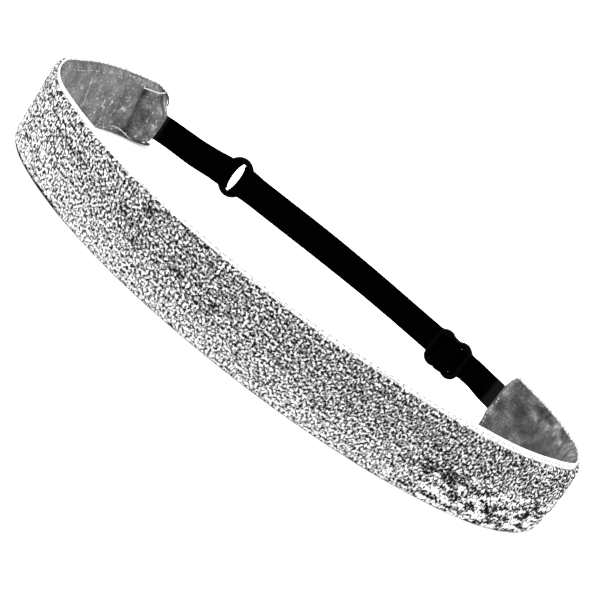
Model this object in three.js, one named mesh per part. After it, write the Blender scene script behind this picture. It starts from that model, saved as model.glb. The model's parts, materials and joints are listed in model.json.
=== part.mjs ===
// Sport headband: a white ribbon with a glitter face and a velvet lining, closed at the back by a narrow
// elastic strap that runs through an oval ring and a figure-eight slide.
// Millimetres, +Z up. The band stands on its lower edge, with the middle of its front towards -Y.
import * as THREE from "three";

// Cloth layers of the band, from the outside in: glitter face, ribbon, lining
const BAND_WIDTH = 22;
const LAYER = 1.0;
const LAYER_GAP = 0.25;
const FACE_BORDER = { bottom: 0.15, top: 1.7 };
const RIBBON_BORDER = { bottom: 0, top: 0 };
const LINING_BORDER = { bottom: 0.15, top: 0.7 };
const FACE_DEPTH = -(LAYER_GAP + LAYER);
const RIBBON_DEPTH = 0;
const LINING_DEPTH = LAYER + LAYER_GAP;
const STATION_STEP = 4;
const WALL_ROWS = [7.3, 14.7];

// Bends of the band, from the middle of its front to each end. A row is one stretch: its length, the angle
// that it turns through, and how far (in degrees) the top edge leans outwards where the stretch ends.
const FRONT_LEAN = 3;
const RIGHT_BENDS = [
  { length: 32, turn: 15, lean: -5 },
  { length: 28, turn: 14, lean: -8 },
  { length: 22, turn: 18, lean: -9 },
  { length: 18, turn: 17, lean: -5 },
  { length: 16, turn: 22, lean: -6 },
  { length: 14, turn: 22, lean: -7 },
  { length: 17, turn: 30, lean: -6 },
  { length: 10.5, turn: 0, lean: -6 },
];
const LEFT_BENDS = [
  { length: 32, turn: 14, lean: 4 },
  { length: 28, turn: 16, lean: 5 },
  { length: 22, turn: 14, lean: 4 },
  { length: 18, turn: 21, lean: 1 },
  { length: 16, turn: 13, lean: 1 },
  { length: 14, turn: 10, lean: -2 },
  { length: 40, turn: 29, lean: -1 },
  { length: 11.5, turn: 0, lean: -1 },
];

// Corners of the band's two ends
const CORNER_RADIUS = 1.5;
const LEFT_TOP_RADIUS = 8;
const RIGHT_TOP_RADIUS = 0.5;
const CORNER_STEPS = 4;

// Elastic strap, and the pockets between ribbon and lining that hold its ends
const STRAP_WIDTH = 9.5;
const STRAP_THICKNESS = 1.0;
const STRAP_GAP = 0.3;
const STRAP_HEIGHT = { left: 8.1, right: 12.0 };
const POCKET_LENGTH = 8;
const POCKET_EASE = 3.5;
const POCKET_LAYERS = { left: 2, right: 1 };
const TAB_EXIT = 1.5;
const STRAP_HANDLE = { left: 12, right: 13 };
const STRAP_ROWS = [-1, -0.5, 0, 0.5, 1];
const ROUTE_STEPS = 10;
const ROUTE_MERGE = 0.05;
const STRAP_DIVISIONS = 800;

// Where the strap's line rises, and where its upper edge twists towards the head, by distance along the strap
const STRAP_RISE = { height: 1.85, from: 23, full: 47, hold: 72, end: 142 };
const STRAP_TWIST = { angle: 9, from: 60, full: 115, hold: 147, end: 155 };

// Hardware on the strap, placed by its distance from the band's left end
const RING_PLACE = 34.9;
const RING_RADIUS = 6.45;
const RING_WIRE = 1.05;
const RING_SQUEEZE = 0.8;
const RING_TURN = 7;
const RING_SIDES = 36;
const WIRE_SIDES = 10;
const RING_FOLD = 1.8;
const RING_FOLD_BOW = 1.0;
const RING_FOLD_REACH = 10;
const SLIDE_PLACE = 128.8;
const SLIDE_THICKNESS = 1.4;
const SLIDE_BEVEL = 0.25;
const SLIDE_CURVE_STEPS = 6;
const SLIDE_LOBE_RADIUS = 3.3;
const SLIDE_LOBE_ANGLE = 125;
const SLIDE_LOBE = { along: 3.3, across: 3.8 };
const SLIDE_WAIST = 5.9;
const SLIDE_BAR = 0.7;
const SLIDE_WINDOW = { end: 5.2, half: 4.95, radius: 0.3 };
const SLIDE_WEAVE = { bend: 4.4, angle: 20 };

const FINISHES = {
  glitter_face: { color: 0xb4b6b8, roughness: 0.35, metalness: 0.6 },
  white_ribbon: { color: 0xe9e9e6, roughness: 0.85, metalness: 0 },
  velvet_lining: { color: 0x77787a, roughness: 0.95, metalness: 0 },
  anchor_loop: { color: 0x0d0d0e, roughness: 0.85, metalness: 0 },
  adjust_strap: { color: 0x0d0d0e, roughness: 0.85, metalness: 0 },
  ring: { color: 0x101011, roughness: 0.45, metalness: 0 },
  slide: { color: 0x101011, roughness: 0.45, metalness: 0 },
};

const { degToRad, lerp, smoothstep, clamp } = THREE.MathUtils;

// One half of the band's line in plan: tangent arcs, run from the middle of the front.
class BandHalf {
  constructor(bends, side) {
    this.side = side;
    this.stretches = [];
    let start = 0;
    let heading = 0;
    let lean = degToRad(FRONT_LEAN);
    const point = new THREE.Vector2();
    for (const bend of bends) {
      const turn = degToRad(bend.turn);
      const nextLean = degToRad(bend.lean);
      const stretch = { start, length: bend.length, heading, turn, lean, nextLean, point: point.clone() };
      this.stretches.push(stretch);
      point.copy(this.pointOn(stretch, bend.length));
      start += bend.length;
      heading += turn;
      lean = nextLean;
    }
    this.length = start;
  }

  // Point on a stretch, run along its arc, or along its line where it doesn't turn
  pointOn(stretch, run) {
    const swing = (stretch.turn * run) / stretch.length;
    const chord = swing === 0 ? run : (run * Math.sin(swing / 2)) / (swing / 2);
    const direction = stretch.heading + swing / 2;
    const step = new THREE.Vector2(this.side * Math.cos(direction), Math.sin(direction));
    return stretch.point.clone().addScaledVector(step, chord);
  }

  // Place at a distance from the front's middle. Past its end the band's line goes straight on.
  at(distance) {
    const last = this.stretches[this.stretches.length - 1];
    const stretch = this.stretches.find((s) => distance < s.start + s.length) ?? last;
    const run = distance - stretch.start;
    const share = clamp(run / stretch.length, 0, 1);
    const heading = stretch.heading + (stretch.turn * run) / stretch.length;
    const lean = lerp(stretch.lean, stretch.nextLean, smoothstep(share, 0, 1));
    const outward = new THREE.Vector2(this.side * Math.sin(heading), -Math.cos(heading));
    return { point: this.pointOn(stretch, run), heading, lean, outward };
  }
}

const rightHalf = new BandHalf(RIGHT_BENDS, 1);
const leftHalf = new BandHalf(LEFT_BENDS, -1);

// Point of the band's wall: station is counted from the front's middle, positive to the right, depth goes
// inwards from the ribbon's outer face, and height is measured up the leaning wall from the floor.
function wallPoint(station, depth, height) {
  const half = station < 0 ? leftHalf : rightHalf;
  const { point, lean, outward } = half.at(Math.abs(station));
  const reach = height * Math.sin(lean) - depth / Math.cos(lean);
  const plan = point.clone().addScaledVector(outward, reach);
  return new THREE.Vector3(plan.x, plan.y, height * Math.cos(lean));
}

// Distance from a station to the band's nearer end
function endDistance(station) {
  return station < 0 ? leftHalf.length + station : rightHalf.length - station;
}

// How much of the width a rounded corner takes away at a distance from the end
function cornerDrop(distance, radius) {
  if (distance >= radius) return 0;
  return radius - Math.sqrt(radius ** 2 - (radius - distance) ** 2);
}

// Stations from the left end to the right end, close together in the rounded corners and pocket creases
function bandStations() {
  const ends = (length, radius) => {
    const marks = [POCKET_LENGTH, POCKET_LENGTH + POCKET_EASE / 2, POCKET_LENGTH + POCKET_EASE];
    for (let i = 0; i <= CORNER_STEPS; i++) {
      marks.push(radius * (1 - Math.cos((i / CORNER_STEPS) * (Math.PI / 2))));
    }
    return marks.map((mark) => length - mark);
  };
  const clearEnd = POCKET_LENGTH + POCKET_EASE;
  const stations = [
    ...ends(leftHalf.length, LEFT_TOP_RADIUS).map((mark) => -mark),
    ...ends(rightHalf.length, CORNER_RADIUS),
  ];
  const from = -leftHalf.length + clearEnd;
  const to = rightHalf.length - clearEnd;
  const steps = Math.round((to - from) / STATION_STEP);
  for (let i = 1; i < steps; i++) {
    stations.push(lerp(from, to, i / steps));
  }
  return stations.sort((a, b) => a - b);
}

// Closed mesh from rings of points with the same count, each ring joined to the next, the ends capped.
function loft(rings) {
  const count = rings[0].length;
  const positions = rings.flatMap((ring) => ring.flatMap((p) => p.toArray()));
  const index = [];
  for (let r = 0; r + 1 < rings.length; r++) {
    for (let i = 0; i < count; i++) {
      const next = (i + 1) % count;
      const a = r * count + i;
      const b = r * count + next;
      index.push(a, b + count, b, a, a + count, b + count);
    }
  }
  capRing(index, 0, count, false);
  capRing(index, (rings.length - 1) * count, count, true);
  const geometry = new THREE.BufferGeometry();
  geometry.setAttribute("position", new THREE.Float32BufferAttribute(positions, 3));
  geometry.setIndex(index);
  geometry.computeVertexNormals();
  return geometry;
}

// Cap of a ring whose first half runs up one face and whose second half runs down the other
function capRing(index, first, count, reversed) {
  for (let i = 0; i < count / 2 - 1; i++) {
    const a = first + i;
    const b = first + i + 1;
    const c = first + count - 2 - i;
    const d = first + count - 1 - i;
    if (reversed) index.push(a, c, b, a, d, c);
    else index.push(a, b, c, a, c, d);
  }
}

// A strip of the band's cloth. innerRows gives rows between its edges, and lift moves a row inwards.
function clothStrip({ depth, border, innerRows = () => WALL_ROWS, lift = () => 0 }) {
  const rings = bandStations().map((station) => {
    const end = endDistance(station);
    const topRadius = station < 0 ? LEFT_TOP_RADIUS : RIGHT_TOP_RADIUS;
    const bottom = border.bottom + cornerDrop(end, CORNER_RADIUS);
    const top = BAND_WIDTH - border.top - cornerDrop(end, topRadius);
    const rows = [bottom, ...innerRows(station).map((h) => clamp(h, bottom, top)), top];
    const outer = rows.map((h) => wallPoint(station, depth + lift(station, h), h));
    const inner = rows.map((h) => wallPoint(station, depth + LAYER + lift(station, h), h));
    return [...outer, ...inner.reverse()];
  });
  return loft(rings);
}

// The lining stands off the ribbon where the strap's ends lie between them, and is sewn down around them.
function pocketLift(station, height) {
  const side = station < 0 ? "left" : "right";
  const full = POCKET_LAYERS[side] * (STRAP_THICKNESS + LAYER_GAP);
  const along = 1 - smoothstep(endDistance(station), POCKET_LENGTH, POCKET_LENGTH + POCKET_EASE);
  const beyond = Math.abs(height - STRAP_HEIGHT[side]) - (STRAP_WIDTH / 2 + STRAP_GAP);
  const across = 1 - smoothstep(beyond, 0, POCKET_EASE);
  return full * along * across;
}

// Rows up the lining that follow the pocket's edges
function liningRows(station) {
  const height = STRAP_HEIGHT[station < 0 ? "left" : "right"];
  const half = STRAP_WIDTH / 2 + STRAP_GAP;
  const low = height - half;
  const high = height + half;
  return [low - POCKET_EASE / 2, low, height, high, high + POCKET_EASE / 2, high + POCKET_EASE];
}

// A tab is where the strap leaves the band: the root of the strap in its pocket, and its exit past the end.
function strapTab(half, side) {
  const layers = POCKET_LAYERS[side];
  const depth = LINING_DEPTH + (layers * STRAP_THICKNESS + (layers - 1) * LAYER_GAP) / 2;
  const at = (end) => wallPoint(half.side * (half.length - end), depth, STRAP_HEIGHT[side]);
  const root = at(POCKET_LENGTH);
  const exit = at(-TAB_EXIT);
  const handle = at(-TAB_EXIT - STRAP_HANDLE[side]);
  return { root, exit, handle };
}

// Part of a change along the strap: none before from, all of it between full and hold, none after end
function strapShare(distance, { from, full, hold, end }) {
  return smoothstep(distance, from, full) * (1 - smoothstep(distance, hold, end));
}

// The strap's middle line, from the bottom of the left pocket to the bottom of the right one
class StrapLine extends THREE.Curve {
  constructor() {
    super();
    const left = strapTab(leftHalf, "left");
    const right = strapTab(rightHalf, "right");
    this.level = new THREE.CurvePath();
    this.level.add(new THREE.LineCurve3(left.root, left.exit));
    this.level.add(new THREE.CubicBezierCurve3(left.exit, left.handle, right.handle, right.exit));
    this.level.add(new THREE.LineCurve3(right.exit, right.root));
    this.arcLengthDivisions = STRAP_DIVISIONS;
  }

  getPoint(share, target = new THREE.Vector3()) {
    target.copy(this.level.getPoint(share));
    target.z += STRAP_RISE.height * strapShare(share * this.level.getLength(), STRAP_RISE);
    return target;
  }
}

const strapMiddle = new StrapLine();
const strapLength = strapMiddle.getLength();
const ringPlace = POCKET_LENGTH + RING_PLACE;
const slidePlace = POCKET_LENGTH + SLIDE_PLACE;

// Axes at a distance along the strap: along it, up its width, and outwards from the head
function strapFrame(distance) {
  const share = clamp(distance / strapLength, 0, 1);
  const point = strapMiddle.getPointAt(share);
  const along = strapMiddle.getTangentAt(share).normalize();
  const tabUp = (half) => {
    const low = wallPoint(half.side * half.length, 0, 0);
    return wallPoint(half.side * half.length, 0, 1).sub(low);
  };
  const free = smoothstep(distance, POCKET_LENGTH + TAB_EXIT, strapLength - POCKET_LENGTH - TAB_EXIT);
  const up = tabUp(leftHalf).lerp(tabUp(rightHalf), free);
  up.addScaledVector(along, -up.dot(along)).normalize();
  up.applyAxisAngle(along, degToRad(STRAP_TWIST.angle) * strapShare(distance, STRAP_TWIST));
  const outward = new THREE.Vector3().crossVectors(up, along);
  return { point, along, up, outward };
}

// Point beside the strap's middle line
function strapPoint(distance, offset, rise) {
  const { point, up, outward } = strapFrame(distance);
  return point.addScaledVector(outward, offset).addScaledVector(up, rise);
}

// The fold follows the ring's round inside, where its edges come nearer to the ring's middle than its centre
// does, and the ring's turn on the strap.
function foldShift(distance, row) {
  const held = 1 - smoothstep(Math.abs(distance - ringPlace), RING_FOLD, RING_FOLD_REACH);
  const bow = RING_FOLD_BOW * row ** 2 * Math.sign(ringPlace - distance);
  const turn = (Math.tan(degToRad(RING_TURN)) * row * STRAP_WIDTH) / 2;
  return held * (bow + turn);
}

// Elastic along a route of points: x is the distance along the strap's middle line, y the offset outwards.
function elastic(route) {
  const rings = route.map((place, i) => {
    const before = route[Math.max(i - 1, 0)];
    const after = route[Math.min(i + 1, route.length - 1)];
    const run = new THREE.Vector2().subVectors(after, before).normalize();
    const side = new THREE.Vector2(-run.y, run.x).multiplyScalar(STRAP_THICKNESS / 2);
    const face = (sign) => STRAP_ROWS.map((row) => {
      const distance = place.x + sign * side.x + foldShift(place.x, row);
      return strapPoint(distance, place.y + sign * side.y, (row * STRAP_WIDTH) / 2);
    });
    return [...face(-1), ...face(1).reverse()];
  });
  return loft(rings);
}

const ringLayer = RING_WIRE + STRAP_GAP + STRAP_THICKNESS / 2;

// Short loop from the left pocket round the ring: both layers, and the fold that holds the ring
function anchorLoop() {
  const layer = (STRAP_THICKNESS + LAYER_GAP) / 2;
  const exit = POCKET_LENGTH + TAB_EXIT;
  const fold = ringPlace - RING_FOLD - ringLayer;
  const spread = (exit + fold) / 2;
  const route = new THREE.Path();
  route.moveTo(0, layer);
  route.lineTo(exit, layer);
  route.bezierCurveTo(spread, layer, spread, ringLayer, fold, ringLayer);
  route.absarc(fold, 0, ringLayer, Math.PI / 2, -Math.PI / 2, true);
  route.bezierCurveTo(spread, -ringLayer, spread, -layer, exit, -layer);
  route.lineTo(0, -layer);
  return elastic(routePoints(route));
}

// Long strap from the right pocket, woven through the slide, round the ring and back to the slide.
// It runs outside both end bars of the slide, and inside the strap's own end, which wraps the middle bar.
function adjustStrap() {
  const barLayer = SLIDE_THICKNESS / 2 + STRAP_GAP + STRAP_THICKNESS / 2;
  const overLayer = barLayer + STRAP_GAP + STRAP_THICKNESS;
  const rise = degToRad(SLIDE_WEAVE.angle);
  const dip = { along: overLayer * Math.cos(rise), offset: -overLayer * Math.sin(rise) };
  const corner = dip.along + (barLayer - dip.offset) * Math.tan(rise);
  const clear = SLIDE_LOBE.along + SLIDE_LOBE_RADIUS + STRAP_THICKNESS;
  const fold = ringPlace + RING_FOLD + ringLayer;
  const spread = (fold + slidePlace) / 2;
  const exit = strapLength - POCKET_LENGTH - TAB_EXIT;
  const ease = (exit + slidePlace + clear) / 2;
  const route = new THREE.Path();
  route.moveTo(strapLength, 0);
  route.lineTo(exit, 0);
  route.bezierCurveTo(ease, 0, ease, barLayer, slidePlace + clear, barLayer);
  route.lineTo(slidePlace + SLIDE_WEAVE.bend, barLayer);
  route.quadraticCurveTo(slidePlace + corner, barLayer, slidePlace + dip.along, dip.offset);
  route.absarc(slidePlace, 0, overLayer, -rise, rise - Math.PI, true);
  route.quadraticCurveTo(slidePlace - corner, barLayer, slidePlace - SLIDE_WEAVE.bend, barLayer);
  route.lineTo(slidePlace - clear, barLayer);
  route.bezierCurveTo(spread, barLayer, spread, -ringLayer, fold, -ringLayer);
  route.absarc(fold, 0, ringLayer, -Math.PI / 2, Math.PI / 2, true);
  route.bezierCurveTo(spread, ringLayer, spread, overLayer, slidePlace - clear, overLayer);
  route.lineTo(slidePlace - SLIDE_WEAVE.bend, overLayer);
  const wrap = slidePlace - corner / 2;
  route.bezierCurveTo(slidePlace - corner, overLayer, wrap, barLayer, slidePlace, barLayer);
  route.absarc(slidePlace, 0, barLayer, Math.PI / 2, -Math.PI, true);
  return elastic(routePoints(route));
}

// Points along a route, without the doubled ones where two stretches meet
function routePoints(route) {
  const points = route.getPoints(ROUTE_STEPS);
  return points.filter((p, i) => i === 0 || p.distanceTo(points[i - 1]) > ROUTE_MERGE);
}

// Outline of the slide: four round lobes with a waist on each side
function slideOutline() {
  const { along, across } = SLIDE_LOBE;
  const radius = SLIDE_LOBE_RADIUS;
  const waistAngle = degToRad(SLIDE_LOBE_ANGLE);
  const outline = new THREE.Shape();
  outline.moveTo(along + radius, -across);
  outline.absarc(along, across, radius, 0, waistAngle, false);
  outline.lineTo(0, SLIDE_WAIST);
  outline.absarc(-along, across, radius, Math.PI - waistAngle, Math.PI, false);
  outline.absarc(-along, -across, radius, Math.PI, Math.PI + waistAngle, false);
  outline.lineTo(0, -SLIDE_WAIST);
  outline.absarc(along, -across, radius, -waistAngle, 0, false);
  return outline;
}

// Window of the slide between two bars, with round corners
function slideWindow(from, to) {
  const { half, radius } = SLIDE_WINDOW;
  const hole = new THREE.Path();
  hole.absarc(to - radius, half - radius, radius, 0, Math.PI / 2, false);
  hole.absarc(from + radius, half - radius, radius, Math.PI / 2, Math.PI, false);
  hole.absarc(from + radius, -half + radius, radius, Math.PI, Math.PI * 1.5, false);
  hole.absarc(to - radius, -half + radius, radius, -Math.PI / 2, 0, false);
  return hole;
}

function slidePlate() {
  const outline = slideOutline();
  outline.holes.push(slideWindow(SLIDE_BAR, SLIDE_WINDOW.end));
  outline.holes.push(slideWindow(-SLIDE_WINDOW.end, -SLIDE_BAR));
  const plate = new THREE.ExtrudeGeometry(outline, {
    depth: SLIDE_THICKNESS - 2 * SLIDE_BEVEL,
    bevelThickness: SLIDE_BEVEL,
    bevelSize: SLIDE_BEVEL,
    bevelOffset: -SLIDE_BEVEL,
    bevelSegments: 1,
    curveSegments: SLIDE_CURVE_STEPS,
  });
  return plate.translate(0, 0, -SLIDE_THICKNESS / 2 + SLIDE_BEVEL);
}

function piece(name, geometry) {
  const mesh = new THREE.Mesh(geometry, new THREE.MeshStandardMaterial(FINISHES[name]));
  mesh.name = name;
  return mesh;
}

// Turns a piece of hardware into the strap's own axes at its place on the strap
function onStrap(mesh, distance) {
  const { point, along, up, outward } = strapFrame(distance);
  const axes = new THREE.Matrix4().makeBasis(along, up, outward.clone().negate());
  mesh.quaternion.setFromRotationMatrix(axes);
  mesh.position.copy(point);
  return mesh;
}

// Oval ring: a round one pressed narrower along the strap, and turned a little on it
function strapRing() {
  const ring = new THREE.TorusGeometry(RING_RADIUS, RING_WIRE, WIRE_SIDES, RING_SIDES);
  return ring.scale(RING_SQUEEZE, 1, 1).rotateZ(-degToRad(RING_TURN));
}

const headband = new THREE.Group();
headband.add(
  piece("glitter_face", clothStrip({ depth: FACE_DEPTH, border: FACE_BORDER })),
  piece("white_ribbon", clothStrip({ depth: RIBBON_DEPTH, border: RIBBON_BORDER })),
  piece(
    "velvet_lining",
    clothStrip({ depth: LINING_DEPTH, border: LINING_BORDER, innerRows: liningRows, lift: pocketLift }),
  ),
  piece("anchor_loop", anchorLoop()),
  piece("adjust_strap", adjustStrap()),
  onStrap(piece("ring", strapRing()), ringPlace),
  onStrap(piece("slide", slidePlate()), slidePlace),
);

// The origin goes to the middle of the footprint
const box = new THREE.Box3().setFromObject(headband);
const middle = box.getCenter(new THREE.Vector3());
headband.position.set(-middle.x, -middle.y, -box.min.z);

export default headband;
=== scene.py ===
"""Sport headband: a white ribbon with a glitter face and a velvet lining, on an adjustable elastic strap.

Every strip is cut flat, given its thickness and then wrapped into the shape that the band or strap has.
Lengths are in millimetres up to the last step, where a piece's points go to metres in the frame's axes.
A station is a distance along the band from the middle of the front, negative to the left. A span is a pair
of places between which a change sets in: none of it at the first, all of it at the second.
"""
import json
import math
from collections import namedtuple

import bpy
import numpy as np
from mathutils import Matrix, Vector


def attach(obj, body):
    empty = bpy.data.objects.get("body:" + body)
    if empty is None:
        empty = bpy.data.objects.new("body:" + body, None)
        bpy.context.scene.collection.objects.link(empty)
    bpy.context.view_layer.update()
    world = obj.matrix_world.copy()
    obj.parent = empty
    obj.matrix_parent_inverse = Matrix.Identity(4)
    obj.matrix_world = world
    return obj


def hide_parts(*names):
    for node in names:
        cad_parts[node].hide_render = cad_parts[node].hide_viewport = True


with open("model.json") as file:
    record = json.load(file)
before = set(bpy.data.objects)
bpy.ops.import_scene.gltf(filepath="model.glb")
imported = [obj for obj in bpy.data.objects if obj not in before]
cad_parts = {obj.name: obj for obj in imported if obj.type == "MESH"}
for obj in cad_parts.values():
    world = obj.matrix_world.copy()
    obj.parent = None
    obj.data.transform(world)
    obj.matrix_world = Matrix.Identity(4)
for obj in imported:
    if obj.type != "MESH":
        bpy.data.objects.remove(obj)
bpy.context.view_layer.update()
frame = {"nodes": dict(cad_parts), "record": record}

MM = 0.001
TINY = 1e-6

# Layers of the band, from the outside in, and what each leaves free of the ribbon, low and high
BAND_WIDTH = 22
LAYER = 1.0
LAYER_GAP = 0.25
FACE_BORDER = (0.15, 1.7)
FACE_BORDER_LEFT = 0.9
FACE_BORDER_SPAN = (-30, -90)
RIBBON_BORDER = (0, 0)
LINING_BORDER = (0.15, 0.7)
FACE_DEPTH = -(LAYER + LAYER_GAP)
LINING_DEPTH = LAYER + LAYER_GAP

# Bends from the middle of the front to each end: a stretch's length and turn, and the wall's lean at its end
Bend = namedtuple("Bend", "length turn lean")
FRONT_LEAN = 3
RIGHT_BENDS = [
    Bend(32, 15, -5),
    Bend(28, 14, -8),
    Bend(22, 18, -9),
    Bend(18, 17, -5),
    Bend(16, 22, -6),
    Bend(14, 22, -7),
    Bend(17, 30, -6),
    Bend(10.5, 0, -6),
]
LEFT_BENDS = [
    Bend(32, 14, 4),
    Bend(28, 16, 5),
    Bend(22, 14, 4),
    Bend(18, 21, 1),
    Bend(16, 13, 1),
    Bend(14, 10, -2),
    Bend(40, 29, -1),
    Bend(11.5, 0, -1),
]

# Round corners of the ends, and the swell of the wall on the sharp turn at the right
CORNER_RADIUS = 1.5
LEFT_TOP_RADIUS = 8
RIGHT_TOP_RADIUS = 0.5
END_CROWDING = 0.25
TURN_BULGE = 0.8
TURN_BULGE_SPANS = ((82, 102), (138, 116))

# Ribbon: rounded edges, small loops along the upper one and thin towards it, with stray glitter
RIBBON_CELL = 0.3
RIBBON_ROWS = 14
SELVAGE_THIN = 0.65
SELVAGE_SPAN = (2.4, 0.6)
LOOP_PITCH = 0.9
LOOP_DEPTH = 0.06
LOOP_SPAN = (0.8, 0)
RIBBON_ROUNDING = 0.22
RIBBON_ROUNDING_SPAN = (0.5, 0)
STRAY_AT_FACE = 0.85
STRAY_AT_FACE_SPAN = (1.3, 0.5)
STRAY_ON_TOP = 0.3
STRAY_ON_TOP_HEIGHTS = (21.5, BAND_WIDTH)

# Glitter crust: the size of its cells, and how far its flakes shift and dip
FLAKE_CELL = 0.45
FLAKE_SHIFT = 0.3 * FLAKE_CELL
FLAKE_DIP = 0.1
CRUST_EDGE = 0.35
CRUST_EDGE_SPAN = (2 * FLAKE_CELL, 0)

# Clumps of flakes: fine along the front, coarser, longer and stronger at the turns, fine again past them
CLUMP_SIZE = 1.05
CLUMP_GROWTH = 0.35
CLUMP_GROWTH_SPAN = (10, 110)
CLUMP_DRAW = 0.5
CLUMP_DRAW_SPAN = (75, 112)
CLUMP_CONTRAST = 0.8
TURN_CONTRAST = 0.34
TURN_CONTRAST_SPAN = (40, 105)
RIGHT_TURN_CONTRAST = 0.44
RIGHT_TURN_SPAN = (60, 105)
PAST_TURN_SPAN = (155, 112)

# Tones of single flakes: their scatter, worn patches, streaks low on the right, grains on the turns, painted
# light and shade along the band, and painted shade along the low edge on the left
FLAKE_TONE = 0.5
FLAKE_SCATTER = 0.045
WORN_SIZE = (6, 1.8)
WORN_SHARE = (0.7, 0.95)
WORN_DEPTH = 0.05
STREAK_SIZE = (2.8, 0.8)
STREAK_SPAN = (20, 90)
STREAK_HEIGHTS = (13, 7)
STREAK_DEPTH = 0.55
TURN_GRAIN_SIZE = (1.2, 1.0)
TURN_GRAIN_SPAN = (50, 105)
TURN_GRAIN_DEPTH = 0.2
# Painted shade along the glitter's low edge on the left
LOW_EDGE_SHADE_SPANS = ((-50, -70), (-125, -110))
LOW_EDGE_SHADE_HEIGHTS = (0.9, 0.4)
LOW_EDGE_SHADE_DEPTH = 0.25
Shift = namedtuple("Shift", "amount span")
# Painted light and shade along the band: flakes brighter left of the middle, a little darker to its right
# and darker at the right turn. TONES_UP makes them brighter towards the lower edge
PAINTED_LIGHT_ALONG = [Shift(0.022, (-20, -80)), Shift(-0.006, (-40, 60)), Shift(-0.024, (85, 105))]
TONES_UP = [Shift(0.045, (14, 0)), Shift(0.02, (3, 0))]

# Velvet: its cells, its rounded edges, and the sizes of the patterns in its pile
VELVET_CELL = 0.45
VELVET_ROUNDING = 0.25
VELVET_ROUNDING_SPAN = (1.2, 0)
WAVE_SIZE = (8, 6)
BLOTCH_SIZE = (5, 4)
MOTTLE_SIZE = (1.5, 1.5)
FLECK_SIZE = (0.7, 0.7)
FLECK_SHARE = (0.68, 0.95)
PUCKER_SIZE = (3.0, 2.6)
LEFT_END_SPAN = (-85, -105)
RIGHT_END_SPAN = (70, 108)

# Slanted lines across the velvet at the left: a low and a high point, each by its distance from the end
# and its height, the line's width, and the spans of heights where it sets in and fades
Line = namedtuple("Line", "low high width rise fall")
# The crease is a groove with painted shade in it. The fold and the pleat are ridges with painted highlights,
# and the pleat's shadow is painted beside it
LEFT_CREASE = Line((10.0, 2.5), (13.0, 18.0), 0.9, (0.5, 2.5), (20, 18))
LEFT_FOLD = Line((38.5, 7.2), (43.5, 16.5), 0.45, (6.5, 8), (17.5, 16))
LEFT_PLEAT = Line((1.5, 14.8), (3.5, 18.0), 0.4, (13, 15), (19.5, 18))
PLEAT_SHADOW = Line((2.4, 14.8), (4.4, 18.0), 0.5, (13, 15), (19.5, 18))

# Other marks at the left end, by distance from the end and height: the pocket swells short of the crease
SHORT_OF_CREASE = (-0.3, -2.5)
PUCKER_ENDS = (0, 2)
PALE_SPOTS = ((4, 14.2), (3, 8.8), (1.2, 5.5), (1.8, 3), (7, 4.8))
PALE_SPOT_SIZE = 1.2
# Painted shade at the lower and upper ends of the crease
CREASE_SHADE_SPOTS = ((11.3, 2), (12.5, 17))
CREASE_SHADE_SPOT_SIZE = 1.4
SPECKLED_ENDS = (12, 17)
SPECKLED_FAR_ENDS = (27, 36)
SPECKLED_HIGH = (12, 15)

# Marks at the right end, by distance from the end and height
HEM_ENDS = (2.0, 1.4)
# Painted highlight along the upper edge, near the end
RIM_HIGHLIGHT_ENDS = (5, 10)
RIM_HIGHLIGHT_HEIGHTS = (14, 18)
SHADED_ENDS = ((6, 12), (27, 17))
SHADED_HEIGHTS = (7, 13)
PUFF_ENDS = (14, 20)
PUFF_HEIGHTS = (16.5, 20)
PUFF_SHARE = (0.1, 0.4)

# Elastic strap, its weave, and its pockets between ribbon and lining
STRAP_WIDTH = 9.5
STRAP_THICKNESS = 1.0
STRAP_GAP = 0.3
STRAP_STEP = 0.5
STRAP_ROWS = 48
STRAP_EDGE = 0.5
STRAP_EDGE_LEAST = 0.04
RIB_PITCH = 0.83
RIB_HEIGHT = 0.05
POCKET_LENGTH = 8
POCKET_EASE = 3.5
TAB_EXIT = 1.5
FADED_SPAN = (POCKET_LENGTH + 5, POCKET_LENGTH + 3.5)
Tab = namedtuple("Tab", "side height layers handle")
LEFT_TAB = Tab(-1, 8.1, 2, 12)
RIGHT_TAB = Tab(1, 12.0, 1, 13)

# Where the strap's line rises and where its upper edge twists towards the head, by distance along it
Stretch = namedtuple("Stretch", "size rise fall")
STRAP_RISE = Stretch(1.85, (23, 47), (142, 72))
STRAP_TWIST = Stretch(9, (60, 115), (155, 147))

# Ring, and the strap's folds round it
RING_PLACE = 34.9
RING_RADIUS = 6.45
RING_WIRE = 1.05
RING_SQUEEZE = 0.8
RING_TURN = 7
RING_SEAM = 0.05
RING_FOLD = 1.8
RING_FOLD_BOW = 1.5
RING_BOW_SHARE = 0.95
RING_FOLD_REACH = 10
RING_FOLD_WIDTH = 10.4

# Slide, how the strap is woven through it, and how much it spreads in the windows, in front and behind
SLIDE_PLACE = 128.8
SLIDE_THICKNESS = 1.4
SLIDE_REACH = 6.6
SLIDE_EDGE = 0.12
SLIDE_SPREAD = (0.22, 1.5, 1.8)
SLIDE_SPREAD_SPAN = (SLIDE_REACH + 0.5, SLIDE_REACH - 2)
SLIDE_CLEAR = (0.8, 1.1)
SLIDE_WEAVE_BEND = 4.4
SLIDE_WEAVE_ANGLE = 20

# Rows of stitches: their insets from the lower and the upper edge, and the share of stitches that show
STITCH_PITCH = 1.9
STITCH_ENDS = (0.08, 0.92)
LINING_INSETS = (2.0, 2.9)
LINING_KEPT = 0.55
LINING_TOP_STOP = 90
BORDER_INSETS = (0, 0.9)
BORDER_START = -30
ROW_MARGIN = 2.5
ROW_SCATTER = 0.3
ROW_WANDER = 0.25
HEM_HEIGHTS = (3.5, 14.5)
HEM_PITCH = 1.6
HEM_INSET = 0.9
HEM_LIFT = 0.4
HEM_SCATTER = 0.4
HEM_WANDER = 0.2

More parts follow.
